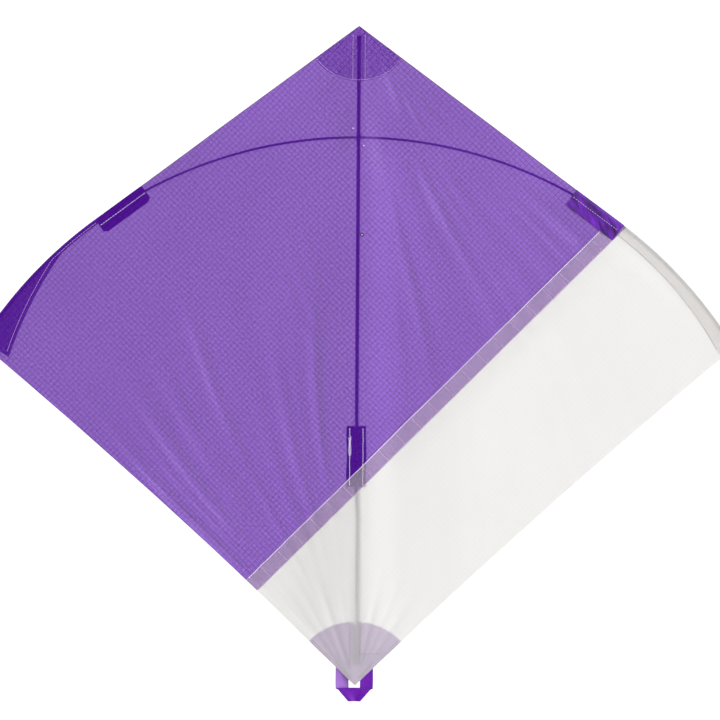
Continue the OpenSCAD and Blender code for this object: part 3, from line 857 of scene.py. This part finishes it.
def foldedStrip(side, along, depthIn, frontReach=0, frontGap=0):
    # a path round the edge at each place along it: in front of the sail, round the bow, and back to the sail
    beyond = np.maximum(along - straightLength, 0)
    before = np.maximum(straightLength - along, 0)
    angle = touchAngle + beyond / edgeR - np.arctan(before / edgeR)
    bowIn = edgeR - bowBend + before ** 2 / (2 * bowBend)
    back = bowDepthY(angle) + bowR + strip["backGap"]
    inFront = np.max(frontReach) > 0
    rows = []
    for share in np.linspace(1, 0, strip["frontRows"]) if inFront else ():
        x, z = edgePoint(side, along, share * frontReach)
        rows.append(np.stack([x, sailY(x, z) - frontGap, z], -1))
    front = sailY(*edgePoint(side, along, strip["turnIn"])) - (frontGap if inFront else -strip["wrapGap"])
    for turn in np.linspace(0, np.pi, strip["turnRows"]):
        depth = strip["tuck"] * (1 - np.cos(turn)) - strip["bulge"] * np.sin(turn)
        x, z = edgePoint(side, along, depth)
        rows.append(np.stack([x, front + (back - front) * (1 - np.cos(turn)) / 2, z], -1))
    for share in np.linspace(strip["backFrom"], 1, strip["backRows"]):
        depth = share * depthIn
        x, z = edgePoint(side, along, depth)
        flat = sailY(x, z) + strip["flatGap"]
        down = rise(depth, bowIn + strip["pastBow"], strip["seat"])
        rows.append(np.stack([x, np.maximum(flat, back + (flat - back) * down), z], -1))
    return np.stack(rows, 0)


def stepsAlong(path):
    # the distance along a line of points, at each of them
    return np.concatenate([[0], np.cumsum(np.linalg.norm(np.diff(path, axis=0), axis=1))])


def finishStrip(name, points, material, nodes, word):
    # the strip's own cut as its UV, and its wall
    uv = np.stack(np.broadcast_arrays(stepsAlong(points[-1])[None, :], stepsAlong(points[:, 0])[:, None]), -1)
    piece = mergeDoubles(makeMesh(name, points, gridQuads(*points.shape[:2]), material, uv), 1e-7)
    place(thicken(piece, strip["thickness"]), f"{word}_wing", nodes)


for side, word in ((-1, "left"), (1, "right")):
    rightSide = side > 0
    start, stop = edges["rightStart"] * rightSide, edges["rightEnd"] * rightSide
    along = np.linspace(edges["pocketStart"] + start, edges["pocketEnd"] + stop, edges["pocketSteps"])
    fromEnds = rise(along, along[0], edges["cornerLength"]) * rise(-along, -along[-1], edges["cornerLength"])
    corner = edges["corner"] * (1 - fromEnds)
    flap = edges["flap"] - edges["flapCorner"] * corner if rightSide else 0
    points = foldedStrip(side, along, edges["pocketDepth"] - corner - edges["rightLess"] * rightSide, flap,
                         edges["flapGap"])
    finishStrip(f"wing_pocket_{word}", points, flapCloth if rightSide else deepCloth, [f"bow_pocket_{word}"],
                word)
    along = np.linspace(edges["hemStart"] + stop, edges["hemEnd"], edges["hemSteps"])
    share = (along - along[0]) / (along[-1] - along[0])
    depth = edges["rightHem"] + edges["rightWiden"] * share ** 2 if rightSide else leftHemDepth(share)
    cloth, slot = (whiteHemCloth, "white_ripstop") if rightSide else (violetCloth, "violet_patch")
    finishStrip(f"edge_hem_{word}", foldedStrip(side, along, depth), cloth, [f"edge_sleeve_{word}"], word)
print("edges folded")

# Stitches: rows on the sail, each of pointed capsules
stitch = {
    "pitch": 2.6 * mm, "length": 2.05 * mm, "radius": 0.17 * mm, "rings": 5, "sides": 6, "tip": 0.12,
    "fullness": 0.6, "lift": 0.16 * mm,
}
onViolet = lap["violet"] - stitch["lift"]
onWhite = lap["white"] - stitch["lift"]


def alongPath(path, pitch):
    # points and directions at equal steps along a line of points
    path = np.asarray(path, float)
    run = stepsAlong(path)
    count = max(int(run[-1] / pitch), 1)
    at = (np.arange(count) + 0.5) / count * run[-1]
    step = pitch * 0.3
    here, after, before = (np.stack([np.interp(at + shift, run, path[:, k]) for k in range(3)], -1)
                           for shift in (0, step, -step))
    ahead = after - before
    return here, ahead / np.linalg.norm(ahead, axis=1)[:, None]


def stitchMesh(name, rows, material, length=stitch["length"], radius=stitch["radius"], pitch=stitch["pitch"]):
    # each stitch has rings of radius r sin(t)^0.6 at -cos(t) half its length
    here, ahead = (np.concatenate(part) for part in zip(*[alongPath(row, pitch) for row in rows]))
    side = np.cross(ahead, [0.0, 1.0, 0.0])
    side /= np.linalg.norm(side, axis=1)[:, None]
    up = np.cross(side, ahead)
    t = np.linspace(stitch["tip"], np.pi - stitch["tip"], stitch["rings"])
    turn = np.linspace(0, 2 * np.pi, stitch["sides"], endpoint=False)
    swell = radius * np.sin(t) ** stitch["fullness"]
    body = (here[:, None, None] - ahead[:, None, None] * (np.cos(t) * length / 2)[None, :, None, None]
            + side[:, None, None] * (swell[:, None] * np.cos(turn))[None, :, :, None]
            + up[:, None, None] * (swell[:, None] * np.sin(turn))[None, :, :, None])
    first = np.arange(len(here)) * stitch["rings"] * stitch["sides"]
    quads = tubeFaces(stitch["rings"], stitch["sides"])[None] + first[:, None, None]
    cap = np.arange(stitch["sides"])
    ends = np.stack([cap[::-1], cap + (stitch["rings"] - 1) * stitch["sides"]])[None] + first[:, None, None]
    faces = quads.reshape(-1, 4).tolist() + ends.reshape(-1, stitch["sides"]).tolist()
    return mergeDoubles(makeMesh(name, body, faces, material), 1e-8)


def line(x0, z0, x1, z1, offset, count=40, wobble=0.0):
    # a straight row on the sail, wandering a little to each side
    t = np.linspace(0, 1, count)
    long = np.hypot(x1 - x0, z1 - z0)
    across = wobble * (np.sin(t * 23) + 0.6 * np.sin(t * 51 + 1)) / long
    return onSail(x0 + (x1 - x0) * t + across * (z1 - z0), z0 + (z1 - z0) * t - across * (x1 - x0), offset)


def pair(x, top, foot, offset, wobble=0.0):
    # two rows down the sail, one on each side of the spine
    return [line(side * x, top, side * x, foot, offset, wobble=wobble) for side in (-1, 1)]


turn = np.linspace(-noseHalfTurn, noseHalfTurn, 60) * 0.985
arcReach = nosePatch["reach"] - 0.001
arc = onSail(arcReach * np.sin(turn), noseZ - arcReach * np.cos(turn), onViolet)
rows = [arc] + pair(0.0056, noseZ - 0.008, noseZ - 0.0495, onViolet)
piece = stitchMesh("nose_stitches", rows, paleThread, 2.3 * mm, 0.13 * mm)
place(piece, "airframe", ["nose_stitching"])

tack = np.linspace(0, 1, 60)
zigX = -0.0061 + 0.0009 * np.sign(np.sin(tack * 60))
zigzag = onSail(zigX, sleeveHigh.z - 0.010 - 0.017 * tack, onWhite - 0.1 * mm)
rows = pair(0.0061, sleeveHigh.z - 0.002, sleeveLow.z + 0.001, onWhite, 0.1 * mm) + [zigzag]
piece = stitchMesh("sleeve_stitches", rows, whiteThread, radius=0.24 * mm)
place(piece, "airframe", ["sleeve_stitching"])

rows = pair(0.0046, tailZ + 0.056, tailZ + 0.0195, onWhite)
for inset in (0.0009, 0.0030):
    for side in (-1, 1):
        x = side * np.linspace(0.0030, 0.0395, 50)
        rows.append(onSail(x, trailingZ(x) + inset * 1.35, onWhite))
rows.append(line(0.0030, tailZ + 0.0296, 0.0245, tailZ + 0.0296, onWhite))
piece = stitchMesh("tail_stitches", rows, greyThread, 2.3 * mm, 0.12 * mm)
place(piece, "airframe", ["tail_stitching"])

seam = {"spacing": 0.0212, "upperInset": 0.35 * mm, "lowerInset": 0.6 * mm, "wobble": 0.12 * mm, "steps": 160,
        "tackInset": 0.002, "tackLess": 0.0024, "tackSteps": 12}
edgeRow = {"pocketDepth": 0.0072, "flapY": -1.02 * mm, "leftIn": 0.0042, "leftLeast": 0.0030, "right": 0.0105,
           "rightWiden": 0.0042}


def seamRows(side, end):
    # a row along each edge of the lap, then short tacks across it; the pale row along the lower edge paints a
    # highlight there
    rows = []
    for inset in (seam["upperInset"], sailCut["seamWidth"] - seam["lowerInset"]):
        far = side * (end - 0.010 * (side > 0) - 0.002)
        drop = whiteEdge - 2 * (inset / np.sqrt(2))
        rows.append(line(0, drop, far, far + drop, onWhite, seam["steps"], seam["wobble"]))
    tacksAndHighlight = [rows.pop()]
    start, stop = (0.004, end - 0.018) if side > 0 else (0.010, end - 0.006)
    slip = (sailCut["seamWidth"] - seam["tackLess"]) / np.sqrt(2)
    for at in np.arange(start, stop, seam["spacing"] / np.sqrt(2)) + 0.002:
        x0, z0 = side * at, side * at + whiteEdge - seam["tackInset"]
        tacksAndHighlight.append(line(x0, z0, x0 + slip, z0 - slip, onWhite, seam["tackSteps"]))
    return rows, tacksAndHighlight


for side, word, end in ((-1, "left", whiteLeftEnd), (1, "right", violetRightEnd)):
    rightSide = side > 0
    rows, tacksAndHighlight = seamRows(side, end)
    piece = stitchMesh(f"seam_stitches_{word}", rows, whiteThread, 2.5 * mm, 0.26 * mm)
    # the tacks, and the pale row that paints the highlight along the lap's lower edge
    lesser = stitchMesh(f"seam_tacks_and_highlight_{word}", tacksAndHighlight, paleThread, 2.3 * mm, 0.17 * mm)
    placeOnWing(lesser)
    placeOnWing(piece, [f"seam_stitching_{word}"] + ["seam_stitching_centre"] * rightSide)

    along = np.linspace(edges["pocketStart"] + 0.001, edges["pocketEnd"] - 0.001, 30)
    x, z = edgePoint(side, along + edges["rightStart"] * rightSide, edgeRow["pocketDepth"])
    pocketRow = onSail(x, z, edgeRow["flapY"] if rightSide else onViolet)
    along = np.linspace(edges["hemStart"] + 0.0005 + edges["rightEnd"] * rightSide, edges["hemEnd"] - 0.004, 80)
    share = (along - along[0]) / (along[-1] - along[0])
    depth = (edgeRow["right"] + edgeRow["rightWiden"] * share ** 2 if rightSide
             else np.maximum(leftHemDepth(share) - edgeRow["leftIn"], edgeRow["leftLeast"]))
    hemRow = onSail(*edgePoint(side, along, depth), onWhite if rightSide else onViolet)
    thread = greyThread if rightSide else paleThread
    lesser = stitchMesh(f"hem_stitches_{word}", [hemRow], thread, 2.3 * mm, 0.14 * mm)
    place(lesser, f"{word}_wing")
    thread = paleThread if rightSide else whiteThread
    piece = stitchMesh(f"edge_stitches_{word}", [pocketRow], thread, radius=0.2 * mm)
    place(piece, f"{word}_wing", [f"edge_stitching_{word}"])
print("stitched")

# Lashing where the bow crosses the spine: squared loops that lean to each side in turn
lashing = {"thread": 0.00036, "turns": 4, "gap": 0.00002, "steps": 64, "frontGap": 0.05 * mm, "backShare": 0.6,
           "wide": 0.0030, "frontWider": 0.0002, "backNarrower": 0.0003, "square": 0.6}


def lashingLoop(tilt, shift):
    # depth goes as -cos t, and the width as sign(sin t) |sin t|^0.6, turned by 45 degrees
    t = np.linspace(0, 2 * np.pi, lashing["steps"], endpoint=False)
    front = spineY - spineR - lashing["frontGap"]
    back = bowY + bowR + lashing["thread"] * lashing["backShare"]
    depth = (front + back) / 2 - (back - front) / 2 * np.cos(t)
    wide = lashing["wide"] + lashing["frontWider"] * np.cos(t) - lashing["backNarrower"] * (1 - np.cos(t))
    u = wide * np.sign(np.sin(t)) * np.abs(np.sin(t)) ** lashing["square"]
    return np.stack([(u * tilt + shift) / np.sqrt(2), depth, (u - shift * tilt) / np.sqrt(2)], -1)


shifts = (np.arange(lashing["turns"]) - (lashing["turns"] - 1) / 2) * (lashing["thread"] + lashing["gap"])
rings = [lashingLoop(tilt, shift) for tilt in (-1, 1) for shift in shifts]
piece = makeRings("crossing_lashing", rings, lashing["thread"] / 2, darkThread)
place(piece, "airframe", ["bow_lashing"])

# Tail ribbon: down one side, folded across, and up the other
loopLow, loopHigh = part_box("tail_loop")
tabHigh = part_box("tail_loop_tabs")[1]
ribbon = {
    "width": 0.012, "eye": 0.010, "thickness": 0.00026, "foldThickness": 0.000416, "waver": 0.0005,
    "lift": 0.30 * mm,
    "freeY": 0.75 * mm, "crown": 0.00035, "leftTwist": 0.0030, "rightTwist": 0.0003, "twist": (0.45, 0.4),
    "overlap": 0.0006, "foldY": 1.02 * mm, "corner": 0.0010, "slope": 0.0016, "lip": 0.06,
    "start": 0.0015, "end": 0.0045, "foldFlat": (0.034, 0.0122),
}
ribbonMiddle = (loopLow.x + loopHigh.x) / 2
ribbonReach = ribbon["eye"] / 2 + ribbon["width"]
foldZ = loopLow.z + ribbon["width"]
hingeZ = loopHigh.z


def ribbonLimb(name, side):
    # a flat strip from the sewn end down to the fold, bowed across its width and twisted at its foot
    u, v = np.meshgrid(np.linspace(0, 1, 17), np.linspace(0, 1, 46), indexing="ij")
    out = ribbon["eye"] / 2 + ribbon["width"] * u + ribbon["waver"] * np.sin(v * 3.0) * v
    x = ribbonMiddle + side * out
    z = tabHigh.z + (foldZ - ribbon["overlap"] - tabHigh.z) * v
    onCloth = sailY(np.clip(x, -0.03, 0.03), np.maximum(z, trailingZ(x) + 0.002)) + ribbon["lift"]
    twist = ribbon["leftTwist"] * (1 - u) if side < 0 else ribbon["rightTwist"]
    free = ribbon["freeY"] + ribbon["crown"] * np.sin(u * np.pi) * v + twist * rise(v, *ribbon["twist"])
    y = onCloth + (np.maximum(free, onCloth) - onCloth) * fall(z, hingeZ - 0.002, 0.008)
    # the left limb is paler: a painted sheen
    cloth = ribbonBack if side < 0 else ribbonCloth
    piece = makeMesh(name, np.stack([x, y, z], -1), gridQuads(*x.shape), cloth, np.stack([x, z], -1))
    piece.data.materials.append(sewnRibbon)                  # where it is sewn behind the sail
    centres = np.array([face.center for face in piece.data.polygons])
    behind = centres[:, 2] > trailingZ(centres[:, 0]) + 0.0003
    piece.data.polygons.foreach_set("material_index", behind.astype(np.int32))
    return piece


def ribbonFold(name):
    # the strip across the bottom, cut off by the two folds at 45 degrees
    u, v = np.meshgrid(np.linspace(-1, 1, 41), np.linspace(0, 1, 18), indexing="ij")
    half = ribbonReach - ribbon["corner"] - (ribbon["width"] - ribbon["slope"]) * v
    half = np.where(v < ribbon["lip"], ribbonReach - ribbon["corner"] / 2, half)
    x = ribbonMiddle + u * half
    z = foldZ - (foldZ - loopLow.z) * v + ribbon["overlap"] * np.cos(u * np.pi / 2) * (1 - v)
    y = ribbon["foldY"] + 0.0005 * np.sin(u * 5 + 1) * v + 0.0006 * np.sin(v * np.pi) * np.cos(u * 2.4)
    return makeMesh(name, np.stack([x, y, z], -1), gridQuads(*x.shape), ribbonCloth, np.stack([x, z], -1))


def creaseShadeRows():
    # dark rows that paint the shade along the top of the fold, and down each of its slanted sides
    t = np.linspace(-1, 1, 40)
    z = foldZ + ribbon["overlap"] * np.cos(t * 1.57) - 0.0002
    rows = [np.stack([ribbonMiddle + t * ribbonReach * 0.97, np.full_like(t, 0.80 * mm), z], -1)]
    down = np.linspace(ribbon["lip"], 1, 24)
    for side in (-1, 1):
        x = ribbonMiddle + side * (ribbonReach - 0.0012 - (ribbon["width"] - ribbon["slope"]) * down)
        rows.append(np.stack([x, np.full_like(down, 0.9 * mm), foldZ - (foldZ - loopLow.z) * down], -1))
    return rows


for side, word in ((-1, "left"), (1, "right")):
    piece = ribbonLimb(f"ribbon_limb_{word}", side)
    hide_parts("tail_loop_tabs", "tail_loop")
    thicken(piece, ribbon["thickness"])
    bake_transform(piece)
piece = place(ribbonFold("ribbon_fold"), "tail_ribbon", ["tail_loop"])
thicken(piece, ribbon["foldThickness"])
# dark lines on the folds: painted shade
lesser = stitchMesh("ribbon_creases", creaseShadeRows(), rimDark, 1.5 * mm, 0.16 * mm, 1.2 * mm)
place(lesser, "tail_ribbon")
print("tail ribbon folded")

# Finish on the carried-over CAD pieces
for node, material in (("spine", carbon), ("spine_nose_cap", vinyl), ("spine_tail_cap", vinyl),
                       ("bow_cap_left", vinyl), ("bow_cap_right", vinyl)):
    mesh = frame["nodes"][node].data
    mesh.materials.clear()
    mesh.materials.append(material)

# Floor, light and camera
studio = {
    "floorDrop": 0.10, "floorHalf": 6, "roomLight": 0.24, "seenWhite": 1.23,
    "sheenTowards": (0.42, -0.86, 0.30), "sheenStrength": 2.0, "sheenSpread": 20,
    "keyTowards": (0.76, -0.50, 0.42), "keyStrength": 3.5, "keySpread": 20,
    "backTowards": (-0.50, 0.70, 0.51), "backStrength": 3.9, "backSpread": 30,
    "lens": 105, "viewWidth": 0.6624, "aim": (0.0028, 0.0, -0.2053), "roll": 0.39,
}
scene = bpy.context.scene
scene.view_settings.view_transform = "Standard"
scene.cycles.diffuse_bounces = 8
scene.cycles.transparent_max_bounces = 16
world = bpy.data.worlds.new("softRoom")
world.use_nodes = True
room = world.node_tree
background = room.nodes["Background"]
background.inputs["Color"].default_value = (1, 1, 1, 1)
seen = room.nodes.new("ShaderNodeLightPath")      # the room looks white, and lights the kite more softly
strength = mathNode(room, "MULTIPLY_ADD", seen.outputs["Is Camera Ray"],
                    studio["seenWhite"] - studio["roomLight"], studio["roomLight"])
room.links.new(strength, background.inputs["Strength"])
scene.world = world

floorMaterial = plainMaterial("paleFloor", (0.80, 0.80, 0.80), 0.9, 3, 0.01, 0.00001, 0.1)
floorZ = cadBox[0][2] - studio["floorDrop"]
half = studio["floorHalf"]
floorPoints = [(-half, -half, floorZ), (half, -half, floorZ), (half, half, floorZ), (-half, half, floorZ)]
makeMesh("floor", floorPoints, [(0, 1, 2, 3)], floorMaterial)


def lookAt(thing, target, roll=0.0):
    # -Z towards the target, then turned by the roll in degrees
    direction = Vector(target) - thing.location
    thing.rotation_mode = "QUATERNION"
    thing.rotation_quaternion = direction.to_track_quat("-Z", "Y") @ Quaternion((0, 0, 1), np.radians(roll))


for name in ("sheen", "key", "back"):
    data = bpy.data.lights.new(name, "SUN")
    data.energy = studio[f"{name}Strength"]
    data.angle = np.radians(studio[f"{name}Spread"])
    lamp = bpy.data.objects.new(name, data)
    lamp.location = [2 * part for part in studio[f"{name}Towards"]]
    scene.collection.objects.link(lamp)
    lookAt(lamp, (0, 0, 0))

cameraData = bpy.data.cameras.new("camera")
cameraData.lens = studio["lens"]
camera = bpy.data.objects.new("camera", cameraData)
distance = studio["viewWidth"] * studio["lens"] / cameraData.sensor_width
camera.location = (studio["aim"][0], -distance, studio["aim"][2])
scene.collection.objects.link(camera)
lookAt(camera, studio["aim"], studio["roll"])
scene.camera = camera
print("studio set")
